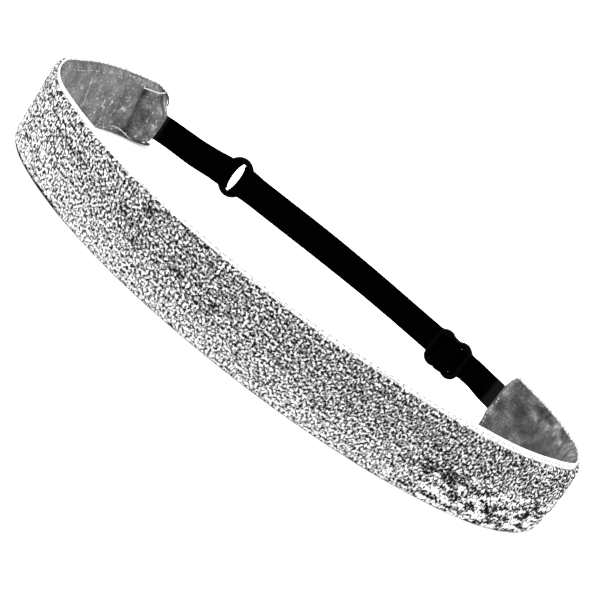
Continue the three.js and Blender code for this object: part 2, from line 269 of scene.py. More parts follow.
# Fibres along the velvet's upper edge, and the tones of fibres and threads
FIBRE_LENGTH = 1.6
FIBRE_ROOTS = (0.1, 0.9)
FIBRE_SLANTS = (-0.7, 0.7)
FIBRE_RISES = (0.3, 1.3)
FIBRE_LEANS = (-0.4, 0.6)
Fringe = namedtuple("Fringe", "pitch reach radius")
LEFT_FRINGE = Fringe(0.4, 0.3, 0.08)
LEFT_FRINGE_STOP = -95
LEFT_FRINGE_MARGIN = 0.3
RIGHT_FRINGE = Fringe(0.35, 1.6, 0.1)
RIGHT_FRINGE_START = 98
# The border stitches' darker tone is painted shade: white thread made darker to show its shade on the white
# border
THREAD_TONES = {"pale": 0.45, "dark": 0.02, "grey_and_shade": 0.16}
FIBRE_TONES = {"dark": 0.04, "grey_and_shade": 0.1}

# Threads at the left tab, by places on them: distance from the band's end, height, lift off the velvet
Thread = namedtuple("Thread", "name shade radius places")
LEFT_THREADS = [
    Thread("top_seam_thread", "pale", 0.22, [
        (14.5, 18.6, 0.4), (12, 18.8, 0.7), (9.5, 19.1, 0.9), (8, 18.8, 0.9), (6, 19.6, 0.9),
        (4.5, 20.0, 0.5),
    ]),
    Thread("low_seam_thread", "pale", 0.22, [
        (17, 2.4, 0.2), (14, 2.6, 0.3), (12, 2.2, 0.5), (9.5, 1.2, 0.6), (7.5, 0.7, 0.5),
        (5.5, 0.4, 0.5), (3.5, 0.3, 0.4),
    ]),
    Thread("top_loose_thread", "dark", 0.28, [
        (6, 20.6, 0.2), (4, 20.4, 0.4), (2.4, 19.4, 0.5), (1.0, 18.2, 0.6), (0.3, 17.0, 0.6),
        (0.2, 16.2, 0.4),
    ]),
    Thread("low_loose_thread", "dark", 0.36, [
        (7, 0.6, 0.2), (4.5, 0.5, 0.5), (1.5, 0.45, 0.6), (-0.5, 0.5, 0.9), (-1.8, 0.8, 1.0),
        (-1.9, 1.5, 0.9), (-0.6, 1.7, 0.7), (0.6, 1.4, 0.6),
    ]),
]

# Photograph: the camera's place is measured from the middle of the front's lower edge
PHOTO_PIXELS = 600
FOCAL_PIXELS = 926.2
CAMERA_PLACE = (0.24, -191.6, 76.1)
CAMERA_ELEVATION = 15.42
CAMERA_ROLL = 37.68
CAMERA_NEAR = 10

# Floor and lights
FLOOR_SIZE = 8000
FLOOR_DROP = 0.1
WORLD_STRENGTH = 2.0
KEY_PLACE = (-500, -500, 900)
KEY_SIZE = 600
KEY_POWER = 9

rng = np.random.default_rng(7)


# Easing

def smooth(value, none, full):
    """How far a change has set in at a value, from 0 to 1 over a span that may run up or down."""
    share = np.clip((value - none) / (full - none), 0, 1)
    return share * share * (3 - 2 * share)


def within(value, rise, fall):
    """1 between two spans, easing in over the first and out over the second."""
    return smooth(value, *rise) * smooth(value, *fall)


def swell(heights):
    """0 at both edges of the band and 1 midway."""
    return np.sin(math.pi * np.clip(heights / BAND_WIDTH, 0, 1))


# Form of the band

BandStretch = namedtuple("BandStretch", "start length heading turn lean end_lean point")


class BandHalf:
    """The band's line in plan from the front's middle to one end: tangent arcs, with the wall's lean."""

    def __init__(self, bends, side):
        self.side = side
        self.stretches = []
        start, heading, lean, point = 0, 0, FRONT_LEAN, np.zeros(2)
        for bend in bends:
            stretch = BandStretch(start, bend.length, heading, bend.turn, lean, bend.lean, point)
            self.stretches.append(stretch)
            point = self.point_on(stretch, bend.length)
            start += bend.length
            heading += bend.turn
            lean = bend.lean
        self.length = start

    def point_on(self, stretch, run):
        swing = math.radians(stretch.turn) * run / stretch.length
        chord = run * math.sin(swing / 2) / (swing / 2) if swing else run
        direction = math.radians(stretch.heading) + swing / 2
        return stretch.point + chord * np.array([self.side * math.cos(direction), math.sin(direction)])

    def at(self, distance):
        """Point, outward direction and lean at a distance from the front's middle."""
        stretch = next((s for s in self.stretches if distance < s.start + s.length), self.stretches[-1])
        run = distance - stretch.start
        angle = math.radians(stretch.heading + stretch.turn * run / stretch.length)
        outward = np.array([self.side * math.sin(angle), -math.cos(angle)])
        lean = stretch.lean + (stretch.end_lean - stretch.lean) * smooth(run, 0, stretch.length)
        return self.point_on(stretch, run), outward, math.radians(lean)


RIGHT = BandHalf(RIGHT_BENDS, 1)
LEFT = BandHalf(LEFT_BENDS, -1)
BAND_LENGTH = LEFT.length + RIGHT.length
LOWER_EDGE = next(m for m in frame["record"]["mounts"] if m["name"] == "lower_edge")["pos_m"]
FRONT_MIDDLE = np.array([LOWER_EDGE[0], LOWER_EDGE[1] - LAYER / 2 * MM, 0.0])


def half_of(tab):
    return LEFT if tab.side < 0 else RIGHT


def to_frame(points):
    """Millimetres from the front's middle to metres in the frame."""
    return np.asarray(points) * MM + FRONT_MIDDLE


def wall_points(stations, depths, heights):
    """Points of the band's wall: stations along it, depths in from the ribbon's face, heights up it."""
    stations, depths, heights = np.broadcast_arrays(stations, depths, heights)
    marks, which = np.unique(stations, return_inverse=True)
    rows = [(LEFT if mark < 0 else RIGHT).at(abs(mark)) for mark in marks]
    point, outward, lean = (np.array(column)[which.ravel()] for column in zip(*rows))
    reach = heights * np.sin(lean) - depths / np.cos(lean)
    reach = reach + TURN_BULGE * within(stations, *TURN_BULGE_SPANS) * swell(heights)
    return np.column_stack([point + outward * reach[:, None], heights * np.cos(lean)])


def end_distance(stations):
    return np.where(stations < 0, LEFT.length + stations, RIGHT.length - stations)


def corner_drop(distance, radius):
    """How much of the width a round corner takes away at a distance from the band's end."""
    inside = np.clip(radius - distance, 0, radius)
    return radius - np.sqrt(radius ** 2 - inside ** 2)


def strip_heights(stations, share, border):
    """Heights at shares across a strip, 0 at its lower edge and 1 at its upper one, with round corners."""
    end = end_distance(stations)
    top_radius = np.where(stations < 0, LEFT_TOP_RADIUS, RIGHT_TOP_RADIUS)
    low = border[0] + corner_drop(end, CORNER_RADIUS)
    high = BAND_WIDTH - border[1] - corner_drop(end, top_radius)
    return low + (high - low) * share


def pocket_lift(stations, heights):
    """How far the lining stands off the ribbon over the strap's sewn ends."""
    lift = np.zeros(len(stations))
    for tab in (LEFT_TAB, RIGHT_TAB):
        mine = (stations < 0) == (tab.side < 0)
        full = tab.layers * (STRAP_THICKNESS + LAYER_GAP)
        along = smooth(end_distance(stations), POCKET_LENGTH + POCKET_EASE, POCKET_LENGTH)
        beyond = np.abs(heights - tab.height) - (STRAP_WIDTH / 2 + STRAP_GAP)
        lift += mine * full * along * smooth(beyond, POCKET_EASE, 0)
    return lift


def selvage_tuck(heights):
    """How much thinner the ribbon is towards its upper edge."""
    return SELVAGE_THIN * smooth(BAND_WIDTH - heights, *SELVAGE_SPAN)


# Making pieces

def just_added(name):
    """The object that the last operator added, named."""
    added = bpy.context.object
    added.name = added.data.name = name
    return added


def cut_strip(name, length, width, columns, rows):
    """A strip cut flat and given its thickness, and each point's place along, across and through it."""
    bpy.ops.mesh.primitive_grid_add(x_subdivisions=columns, y_subdivisions=rows, size=1)
    strip = just_added(name)
    flat = points_of(strip)
    set_flat_places(strip, flat_places(strip) * [length, width])
    wall = strip.modifiers.new("wall", "SOLIDIFY")
    wall.thickness = LAYER * MM
    bpy.ops.object.modifier_apply(modifier="wall")
    along = np.tile((flat[:, 0] + 0.5) * length, 2)
    across = np.tile(flat[:, 1] + 0.5, 2)
    through = np.repeat([0.0, 1.0], len(flat))
    return strip, along, across, through


def flat_places(cloth):
    """Place along and across the flat cloth of every corner of its faces."""
    corners = np.empty(len(cloth.data.loops) * 2, "f")
    cloth.data.uv_layers.active.uv.foreach_get("vector", corners)
    return corners.reshape(-1, 2)


def set_flat_places(cloth, places):
    cloth.data.uv_layers.active.uv.foreach_set("vector", places.astype("f").ravel())


def points_of(piece):
    points = np.empty(len(piece.data.vertices) * 3, "f")
    piece.data.vertices.foreach_get("co", points)
    return points.reshape(-1, 3).astype(float)


def set_points(piece, points):
    piece.data.vertices.foreach_set("co", np.asarray(points, "f").ravel())
    piece.data.update()


def select_only(piece):
    bpy.ops.object.select_all(action="DESELECT")
    piece.select_set(True)
    bpy.context.view_layer.objects.active = piece


def face_outwards(piece):
    select_only(piece)
    bpy.ops.object.mode_set(mode="EDIT")
    bpy.ops.mesh.select_all(action="SELECT")
    bpy.ops.mesh.normals_make_consistent(inside=False)
    bpy.ops.object.mode_set(mode="OBJECT")


def wrap(cloth, stations, depths, heights):
    """Lays a flat strip along the band's wall."""
    set_points(cloth, to_frame(wall_points(stations, depths, heights)))
    face_outwards(cloth)


def finish_piece(piece, material, node=None):
    piece.data.materials.clear()
    piece.data.materials.append(material)
    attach(piece, "root")
    if node:
        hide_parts(node)


def paint(piece, name, values, domain="POINT"):
    layer = piece.data.attributes.new(name, "FLOAT", domain)
    layer.data.foreach_set("value", np.asarray(values, "f"))


def grain(along, across, length, width):
    """Smooth random pattern from 0 to 1 over flat cloth, in grains of about this length and width."""
    x = (along - along.min()) / length
    y = (across - across.min()) / width
    column, row = x.astype(int), y.astype(int)
    lattice = rng.random((column.max() + 2, row.max() + 2))
    right, up = smooth(x - column, 0, 1), smooth(y - row, 0, 1)
    low = lattice[column, row] * (1 - right) + lattice[column + 1, row] * right
    high = lattice[column, row + 1] * (1 - right) + lattice[column + 1, row + 1] * right
    return low * (1 - up) + high * up


def end_spacing(along):
    """Crowds the columns at both ends, where the corners are round."""
    near = LEFT_TOP_RADIUS
    ends = np.minimum(along, BAND_LENGTH - along)
    crowded = ends * (END_CROWDING + (1 - END_CROWDING) * ends / near)
    shift = np.where(ends < near, ends - crowded, 0)
    return along + np.where(along < BAND_LENGTH / 2, -shift, shift)


# Materials

class Finish:
    """A node material with short calls for its nodes, and constant values for its shader's sockets."""

    def __init__(self, name, **sockets):
        self.material = bpy.data.materials.new(name)
        self.material.use_nodes = True
        self.tree = self.material.node_tree
        self.shader = self.tree.nodes["Principled BSDF"]
        for socket, value in sockets.items():
            self.shader.inputs[socket.replace("_", " ")].default_value = value

    def node(self, kind, inputs=None, **settings):
        node = self.tree.nodes.new(kind)
        for name, value in settings.items():
            setattr(node, name, value)
        for name, value in (inputs or {}).items():
            socket = node.inputs[name]
            if isinstance(value, bpy.types.NodeSocket):
                self.tree.links.new(value, socket)
            else:
                socket.default_value = value
        return node

    def link(self, output, socket):
        self.tree.links.new(output, self.shader.inputs[socket])

    def place(self, source):
        return self.node("ShaderNodeTexCoord").outputs[source]

    def painted(self, name):
        return self.node("ShaderNodeAttribute", attribute_name=name).outputs["Fac"]

    def noise(self, vector, scale, detail=3.0, roughness=0.6):
        inputs = {"Vector": vector, "Scale": scale, "Detail": detail, "Roughness": roughness}
        return self.node("ShaderNodeTexNoise", inputs).outputs["Fac"]

    def wave(self, vector, scale, direction):
        inputs = {"Vector": vector, "Scale": scale}
        return self.node("ShaderNodeTexWave", inputs, bands_direction=direction).outputs["Fac"]

    def ramp(self, factor, *stops):
        node = self.node("ShaderNodeValToRGB", {"Fac": factor})
        elements = node.color_ramp.elements
        while len(elements) < len(stops):
            elements.new(0.5)
        for element, (position, value) in zip(elements, stops):
            element.position = position
            element.color = (value, value, value, 1) if np.isscalar(value) else (*value, 1)
        return node.outputs["Color"]

    def math(self, operation, first, second):
        return self.node("ShaderNodeMath", {0: first, 1: second}, operation=operation).outputs[0]

    def mix(self, blend, factor, first, second):
        inputs = {0: factor, 6: first, 7: second}
        return self.node("ShaderNodeMix", inputs, data_type="RGBA", blend_type=blend).outputs[2]

    def bump(self, height, strength, depth):
        inputs = {"Height": height, "Strength": strength, "Distance": depth * MM}
        self.link(self.node("ShaderNodeBump", inputs).outputs["Normal"], "Normal")


def glitter_finish():
    """Silver flakes in fine clumps of light and dark, each a little brighter or darker than its clump."""
    finish = Finish("silver_glitter", Roughness=0.5, Specular_IOR_Level=0.01)
    clumps = finish.noise(finish.place("UV"), 1.7, 1.0, 0.5)
    clumps = finish.math("MULTIPLY", finish.math("SUBTRACT", clumps, 0.5), finish.painted("contrast"))
    tone = finish.ramp(finish.math("ADD", clumps, finish.painted("flake")),
                       (0.33, 0.001), (0.43, 0.01), (0.5, 0.1), (0.57, 0.3), (0.65, 0.62))
    finish.link(tone, "Base Color")
    return finish.material


def ribbon_finish():
    """White woven ribbon with fine ribs across it, speckled with stray glitter along its upper edge."""
    finish = Finish("white_ribbon_weave", Roughness=0.8, Sheen_Weight=0.15)
    place = finish.place("UV")
    white = finish.ramp(finish.noise(place, 3.0), (0.3, 0.9), (0.7, 0.98))
    specks = finish.ramp(finish.noise(place, 1.6, 1.0), (0.4, 0.15), (0.5, 0.9))
    finish.link(finish.mix("MIX", finish.painted("stray"), white, specks), "Base Color")
    finish.bump(finish.wave(place, 0.55, "X"), 0.6, 0.1)
    return finish.material


def velvet_finish():
    """Grey velvet: short pile whose lie makes it paler or darker, with painted light and shade in the same
    tone, and a pale sheen.
    """
    finish = Finish("grey_velvet_pile", Roughness=0.95, Sheen_Weight=0.1, Sheen_Roughness=0.5,
                    Specular_IOR_Level=0.1)
    pile = finish.noise(finish.place("UV"), 1.5, 3.0, 0.7)
    # The tone reads the pile's own lie together with painted light and shade
    tone = finish.ramp(finish.painted("nap_and_painted_light"),
                       (0.0, 0.012), (0.25, 0.036), (0.5, 0.085), (0.75, 0.18), (1.0, 0.48))
    shade = finish.ramp(pile, (0.3, 0.45), (0.5, 0.95), (0.7, 1.7))
    finish.link(finish.mix("MULTIPLY", 1.0, tone, shade), "Base Color")
    finish.bump(pile, 0.6, 0.2)
    return finish.material


def elastic_finish():
    """Black woven elastic: ribs along it, crossed by fine picks, and a little faded at the tabs."""
    finish = Finish("black_elastic_weave", Roughness=0.9, Specular_IOR_Level=0.0)
    tone = finish.ramp(finish.painted("faded"), (0.0, 0.0003), (1.0, (0.006, 0.0055, 0.0045)))
    finish.link(tone, "Base Color")
    place = finish.place("UV")
    picks = finish.wave(place, 0.7, "X")
    ribs = finish.wave(place, 0.5, "Y")
    finish.bump(finish.math("MULTIPLY", picks, ribs), 0.7, 0.15)
    return finish.material


def hardware_finish():
    """Black moulded plastic, satin with a fine grain."""
    finish = Finish("black_satin_plastic", Base_Color=(0.0004, 0.0004, 0.0004, 1), Specular_IOR_Level=0.01)
    fine_grain = finish.noise(finish.place("Object"), 2500.0)
    finish.link(finish.ramp(fine_grain, (0.3, 0.4), (0.7, 0.55)), "Roughness")
    finish.bump(fine_grain, 0.15, 0.05)
    return finish.material


def thread_finish(name, tone):
    """Sewing thread or fibre, a little uneven in tone."""
    finish = Finish(name, Roughness=0.7, Sheen_Weight=0.2)
    twist = finish.noise(finish.place("Object"), 4000.0, 2.0)
    finish.link(finish.ramp(twist, (0.3, tone * 0.8), (0.7, tone)), "Base Color")
    return finish.material


# Glitter face

def glitter_cloth():
    """Glitter strip: its outer side is a crust of flat flakes, tilted all ways."""
    width = BAND_WIDTH - sum(FACE_BORDER)
    columns, rows = round(BAND_LENGTH / FLAKE_CELL), round(width / FLAKE_CELL)
    cloth, along, across, through = cut_strip("glitter_cloth", BAND_LENGTH, width, columns, rows)
    stations = end_spacing(along) - LEFT.length
    outer = through == 0
    edge = np.minimum(across, 1 - across) * width
    loose = outer & (edge > FLAKE_CELL / 2) & (end_distance(stations) > FLAKE_CELL / 2)
    jitter = rng.uniform(-1, 1, (len(along), 3)) * loose[:, None]
    stations = stations + jitter[:, 0] * FLAKE_SHIFT
    heights = strip_heights(stations, across, face_border(stations)) + jitter[:, 1] * FLAKE_SHIFT
    depths = FACE_DEPTH + through * LAYER + outer * FLAKE_DIP * (1 + jitter[:, 2])
    depths = depths + outer * CRUST_EDGE * smooth(edge, *CRUST_EDGE_SPAN)
    wrap(cloth, stations, depths, heights)
    bpy.ops.object.mode_set(mode="EDIT")
    bpy.ops.mesh.quads_convert_to_tris(quad_method="SHORTEST_DIAGONAL")
    bpy.ops.object.mode_set(mode="OBJECT")
    along, height = flat_places(cloth).reshape(-1, 3, 2).mean(axis=1).T
    station = along - LEFT.length
    paint(cloth, "flake", flake_tones(along, height, station), "FACE")
    paint(cloth, "contrast", clump_contrast(station), "FACE")
    spread_clumps(cloth)
    finish_piece(cloth, glitter_finish(), "glitter_face")


def face_border(stations):
    """What the glitter leaves free of the ribbon, low and high: less of it above at the left turn."""
    low, high = FACE_BORDER
    return low, high + (FACE_BORDER_LEFT - high) * smooth(stations, *FACE_BORDER_SPAN)


def turn_share(stations, span):
    """How far a change towards the turns has set in: it fades past them, where the glitter is fine."""
    from_middle = np.abs(stations)
    return smooth(from_middle, *span) * smooth(from_middle, *PAST_TURN_SPAN)


def clump_contrast(station):
    """Contrast between the clumps, stronger at the turns, and most at the right one."""
    stronger = TURN_CONTRAST + RIGHT_TURN_CONTRAST * smooth(station, *RIGHT_TURN_SPAN)
    return CLUMP_CONTRAST + stronger * turn_share(station, TURN_CONTRAST_SPAN)


def spread_clumps(cloth):
    """Makes the clumps coarser towards the turns, and longer along them."""
    along, height = flat_places(cloth).T
    marks = np.linspace(0, BAND_LENGTH, 400)
    stations = marks - LEFT.length
    size = CLUMP_SIZE + CLUMP_GROWTH * turn_share(stations, CLUMP_GROWTH_SPAN)
    drawn = 1 + CLUMP_DRAW * turn_share(stations, CLUMP_DRAW_SPAN)
    counts = np.concatenate([[0], np.cumsum(np.diff(marks) / (size * drawn)[1:])])
    places = np.column_stack([np.interp(along, marks, counts), height / np.interp(along, marks, size)])
    set_flat_places(cloth, places)


def flake_tones(along, height, station):
    """Mean tone of each flake: faint worn patches, streaks low on the right, painted light and shade along
    the band, and painted shade along the low edge on the left.
    """
    tones = FLAKE_TONE + FLAKE_SCATTER * rng.uniform(-1, 1, len(along))
    tones -= WORN_DEPTH * smooth(grain(along, height, *WORN_SIZE), *WORN_SHARE)
    low_right = within(station, STREAK_SPAN, PAST_TURN_SPAN) * smooth(height, *STREAK_HEIGHTS)
    tones += STREAK_DEPTH * (grain(along, height, *STREAK_SIZE) - 0.5) * low_right
    turns = turn_share(station, TURN_GRAIN_SPAN)
    tones += TURN_GRAIN_DEPTH * (grain(along, height, *TURN_GRAIN_SIZE) - 0.5) * turns
    # Painted light to the left of the middle and painted shade at the right turn
    tones += sum(shift.amount * smooth(station, *shift.span) for shift in PAINTED_LIGHT_ALONG)
    tones += sum(shift.amount * smooth(height, *shift.span) for shift in TONES_UP)
    # Painted shade along the low edge on the left
    tones -= LOW_EDGE_SHADE_DEPTH * within(station, *LOW_EDGE_SHADE_SPANS) * smooth(height, *LOW_EDGE_SHADE_HEIGHTS)
    return tones


# White ribbon

def ribbon_cloth():
    """White ribbon under the glitter, with the small loops of its woven upper edge."""
    columns = round(BAND_LENGTH / RIBBON_CELL)
    cloth, along, across, through = cut_strip("ribbon_cloth", BAND_LENGTH, BAND_WIDTH, columns, RIBBON_ROWS)
    stations = end_spacing(along) - LEFT.length
    share = 0.5 - 0.5 * np.cos(math.pi * across)
    edge = np.minimum(share, 1 - share) * BAND_WIDTH
    loops = LOOP_DEPTH * (1 + np.sin(2 * math.pi * along / LOOP_PITCH)) * smooth(edge, *LOOP_SPAN)
    heights = strip_heights(stations, share, RIBBON_BORDER) - loops * (share > 0.5)
    rounding = RIBBON_ROUNDING * smooth(edge, *RIBBON_ROUNDING_SPAN)
    depths = through * (LAYER - selvage_tuck(heights)) + rounding * (1 - 2 * through)
    wrap(cloth, stations, depths, heights)
    bpy.ops.object.shade_smooth()
    past_face = heights - (BAND_WIDTH - face_border(stations)[1])
    stray = STRAY_AT_FACE * (1 - through) * smooth(past_face, *STRAY_AT_FACE_SPAN)
    paint(cloth, "stray", stray + STRAY_ON_TOP * smooth(heights, *STRAY_ON_TOP_HEIGHTS))
    finish_piece(cloth, ribbon_finish(), "white_ribbon")


# Velvet lining

def velvet_cloth():
    """Velvet lining: sewn flat along the band, lifted over the strap's ends in the two pockets."""
    width = BAND_WIDTH - sum(LINING_BORDER)
    columns, rows = round(BAND_LENGTH / VELVET_CELL), round(width / VELVET_CELL)
    cloth, along, across, through = cut_strip("velvet_cloth", BAND_LENGTH, width, columns, rows)
    stations = end_spacing(along) - LEFT.length
    heights = strip_heights(stations, across, LINING_BORDER)
    edge = np.minimum(across, 1 - across) * width
    relief, nap_and_painted_light = velvet_lie(along, across * width, stations, heights)
    rounding = VELVET_ROUNDING * smooth(edge, *VELVET_ROUNDING_SPAN) * (1 - 2 * through)
    depths = velvet_depth(stations, heights) - (1 - through) * LAYER + rounding + through * relief
    wrap(cloth, stations, depths, heights)
    bpy.ops.object.shade_smooth()
    # Paints the pile's tone, with painted light and shade in it
    paint(cloth, "nap_and_painted_light", nap_and_painted_light)
    finish_piece(cloth, velvet_finish(), "velvet_lining")


def velvet_depth(stations, heights):
    """Depth of the velvet's inner side, without its creases."""
    return LINING_DEPTH + LAYER + pocket_lift(stations, heights) - selvage_tuck(heights)


def past_line(line, end, heights):
    """How far beyond a slanted line each point is, along the band and away from its end."""
    slope = (line.high[0] - line.low[0]) / (line.high[1] - line.low[1])
    return end - line.low[0] - slope * (heights - line.low[1])


def line_mark(line, end, heights):
    """1 along a slanted line, easing off to its sides and its ends."""
    across = np.exp(-(past_line(line, end, heights) / line.width) ** 2)
    return across * within(heights, line.rise, line.fall)


def spots(end, heights, places, size):
    """Round soft spots at places on a tab, each by its distance from the band's end and its height."""
    return sum(np.exp(-((end - x) ** 2 + (heights - y) ** 2) / size ** 2) for x, y in places)


def velvet_lie(along, across, stations, heights):
    """Relief of the velvet, and how pale its pile lies with painted light and shade on it: patterns all over
    it, and marks at its two ends.
    """
    end = end_distance(stations)
    waves = grain(along, across, *WAVE_SIZE) - 0.5
    blotches = grain(along, across, *BLOTCH_SIZE) - 0.5
    mottles = grain(along, across, *MOTTLE_SIZE) - 0.5
    flecks = smooth(grain(along, across, *FLECK_SIZE), *FLECK_SHARE)
    puckers = grain(along, across, *PUCKER_SIZE) - 0.5
    left_relief, left_nap_and_light = left_end_lie(end, heights, flecks, puckers)
    right_relief, right_nap_and_light = right_end_lie(end, heights, blotches, mottles, puckers)
    left, right = smooth(stations, *LEFT_END_SPAN), smooth(stations, *RIGHT_END_SPAN)
    relief = 0.25 * waves + 0.12 * mottles + left * left_relief + right * right_relief
    nap_and_painted_light = 0.53 + 0.25 * blotches + 0.2 * mottles + 0.15 * flecks + left * left_nap_and_light + right * right_nap_and_light
    return relief, np.clip(nap_and_painted_light, 0, 1)


def left_end_lie(end, heights, flecks, puckers):
    """What the left end adds to relief and tone: a swollen pocket, slanted lines with painted shade and
    highlights, painted shade at the crease's ends, pale spots and pale flecks.
    """
    crease = line_mark(LEFT_CREASE, end, heights)
    fold = line_mark(LEFT_FOLD, end, heights)
    pleat = line_mark(LEFT_PLEAT, end, heights) - 0.8 * line_mark(PLEAT_SHADOW, end, heights)
    pocket = smooth(past_line(LEFT_CREASE, end, heights), *SHORT_OF_CREASE)
    relief = pocket * (0.1 + 0.8 * swell(heights) + 0.8 * puckers * smooth(end, *PUCKER_ENDS))
    relief += 0.25 * fold + 0.2 * pleat - 0.35 * crease
    # Painted shade in the crease, painted highlights on the fold and the pleat, and the pleat's painted
    # shadow
    nap_and_painted_light = pocket * (0.3 * puckers + 0.25 * flecks - 0.08) + 0.3 * (fold + pleat - crease)
    nap_and_painted_light += 0.22 * spots(end, heights, PALE_SPOTS, PALE_SPOT_SIZE)
    # Painted shade at the crease's ends
    nap_and_painted_light -= 0.4 * spots(end, heights, CREASE_SHADE_SPOTS, CREASE_SHADE_SPOT_SIZE)
    speckled = smooth(end, *SPECKLED_ENDS) * (1 - 0.6 * smooth(end, *SPECKLED_FAR_ENDS))
    nap_and_painted_light += 0.35 * flecks * speckled * (1 - 0.5 * smooth(heights, *SPECKLED_HIGH))
    return relief, nap_and_painted_light


def right_end_lie(end, heights, blotches, mottles, puckers):
    """What the right end adds to relief and tone: a hem, painted shade over the end and more in its middle,
    a painted highlight along the upper edge, and puffs along it.
    """
    hem = smooth(end, *HEM_ENDS)
    rim_highlight = smooth(heights, *RIM_HIGHLIGHT_HEIGHTS) * smooth(end, *RIM_HIGHLIGHT_ENDS)
    shaded = within(end, *SHADED_ENDS) * smooth(heights, *SHADED_HEIGHTS) * (1 - rim_highlight)
    puffs = smooth(puckers, *PUFF_SHARE) * smooth(heights, *PUFF_HEIGHTS) * smooth(end, *PUFF_ENDS)
    relief = 0.3 * hem + 0.3 * puffs
    # Random pile tone, and painted shade that darkens the whole end
    nap_and_painted_light = 0.1 * blotches + 0.3 * puckers - 0.05 * mottles - 0.22
    # Hem and puffs paler, painted shade in the middle, painted highlight along the upper edge
    nap_and_painted_light += 0.2 * hem - 0.1 * shaded + 0.25 * puffs + rim_highlight * (0.1 + 0.5 * mottles)
    return relief, nap_and_painted_light


# Form of the strap

def tab_points(tab, *ends):
    """Points in the middle of the strap's layers at a tab, by their distances from the band's end."""
    depth = LINING_DEPTH + (tab.layers * STRAP_THICKNESS + (tab.layers - 1) * LAYER_GAP) / 2
    stations = [tab.side * (half_of(tab).length - end) for end in ends]
    return wall_points(np.array(stations, float), depth, tab.height)


def bezier(points, steps):
    """Curve from the first point to the last, drawn towards those between."""
    share = np.linspace(0, 1, steps + 1)[:, None]
    points = [np.asarray(point, float) for point in points]
    while len(points) > 1:
        points = [a * (1 - share) + b * share for a, b in zip(points, points[1:])]
    return points[0]


def arc(centre, radius, start, stop, steps=16):
    angles = np.radians(np.linspace(start, stop, steps + 1))
    return np.column_stack([centre + radius * np.cos(angles), radius * np.sin(angles)])


def line_marks(points):
    """Distance along a line at each of its points."""
    return np.concatenate([[0], np.cumsum(np.linalg.norm(np.diff(points, axis=0), axis=1))])


def unit(vectors):
    return vectors / np.linalg.norm(vectors, axis=-1, keepdims=True)


class StrapLine:
    """The strap's middle line from pocket to pocket, turning from one tab's lean to the other's."""

    def __init__(self):
        left = self.tab_ends(LEFT_TAB)
        right = self.tab_ends(RIGHT_TAB)
        curve = bezier([left[1], left[2], right[2], right[1]], 400)
        self.points = np.vstack([left[:1], curve, right[:1]])
        rise = within(line_marks(self.points), STRAP_RISE.rise, STRAP_RISE.fall)
        self.points[:, 2] += STRAP_RISE.size * rise
        self.marks = line_marks(self.points)
        self.length = self.marks[-1]
        self.ups = [self.tab_up(tab) for tab in (LEFT_TAB, RIGHT_TAB)]

    @staticmethod
    def tab_ends(tab):
        return tab_points(tab, POCKET_LENGTH, -TAB_EXIT, -TAB_EXIT - tab.handle)

    @staticmethod
    def tab_up(tab):
        low, high = wall_points(np.full(2, tab.side * half_of(tab).length), 0, np.array([0.0, 1.0]))
        return high - low

    def points_at(self, places):
        places = np.clip(places, 0, self.length)
        return np.column_stack([np.interp(places, self.marks, self.points[:, k]) for k in range(3)])

    def at(self, distances):
        """Points, and the directions along the strap, up its width and outwards from the head."""
        near = 0.3
        places = np.clip(distances, 0, self.length)
        along = unit(self.points_at(places + near) - self.points_at(places - near))
        exit_mark = POCKET_LENGTH + TAB_EXIT
        turn = smooth(places, exit_mark, self.length - exit_mark)[:, None]
        up = self.ups[0] * (1 - turn) + self.ups[1] * turn
        up = unit(up - along * np.sum(up * along, axis=1)[:, None])
        twist = STRAP_TWIST.size * within(places, STRAP_TWIST.rise, STRAP_TWIST.fall)
        twist = np.radians(twist)[:, None]
        up = up * np.cos(twist) + np.cross(along, up) * np.sin(twist)
        return self.points_at(places), along, up, np.cross(up, along)


STRAP = StrapLine()
RING_AT = POCKET_LENGTH + RING_PLACE
SLIDE_AT = POCKET_LENGTH + SLIDE_PLACE
RING_LAYER = RING_WIRE + STRAP_GAP + STRAP_THICKNESS / 2


def ease(start, stop, steps=40):
    """Route that leaves and arrives along the strap's middle line."""
    middle = (start[0] + stop[0]) / 2
    return bezier([start, (middle, start[1]), (middle, stop[1]), stop], steps)


def anchor_route():
    """Places along the strap and offsets outwards: from the left pocket round the ring and back."""
    layer = (STRAP_THICKNESS + LAYER_GAP) / 2
    exit_mark = POCKET_LENGTH + TAB_EXIT
    fold = RING_AT - RING_FOLD - RING_LAYER
    return np.vstack([
        [(0, layer)],
        ease((exit_mark, layer), (fold, RING_LAYER)),
        arc(fold, RING_LAYER, 90, -90),
        ease((fold, -RING_LAYER), (exit_mark, -layer)),
        [(0, -layer)],
    ])


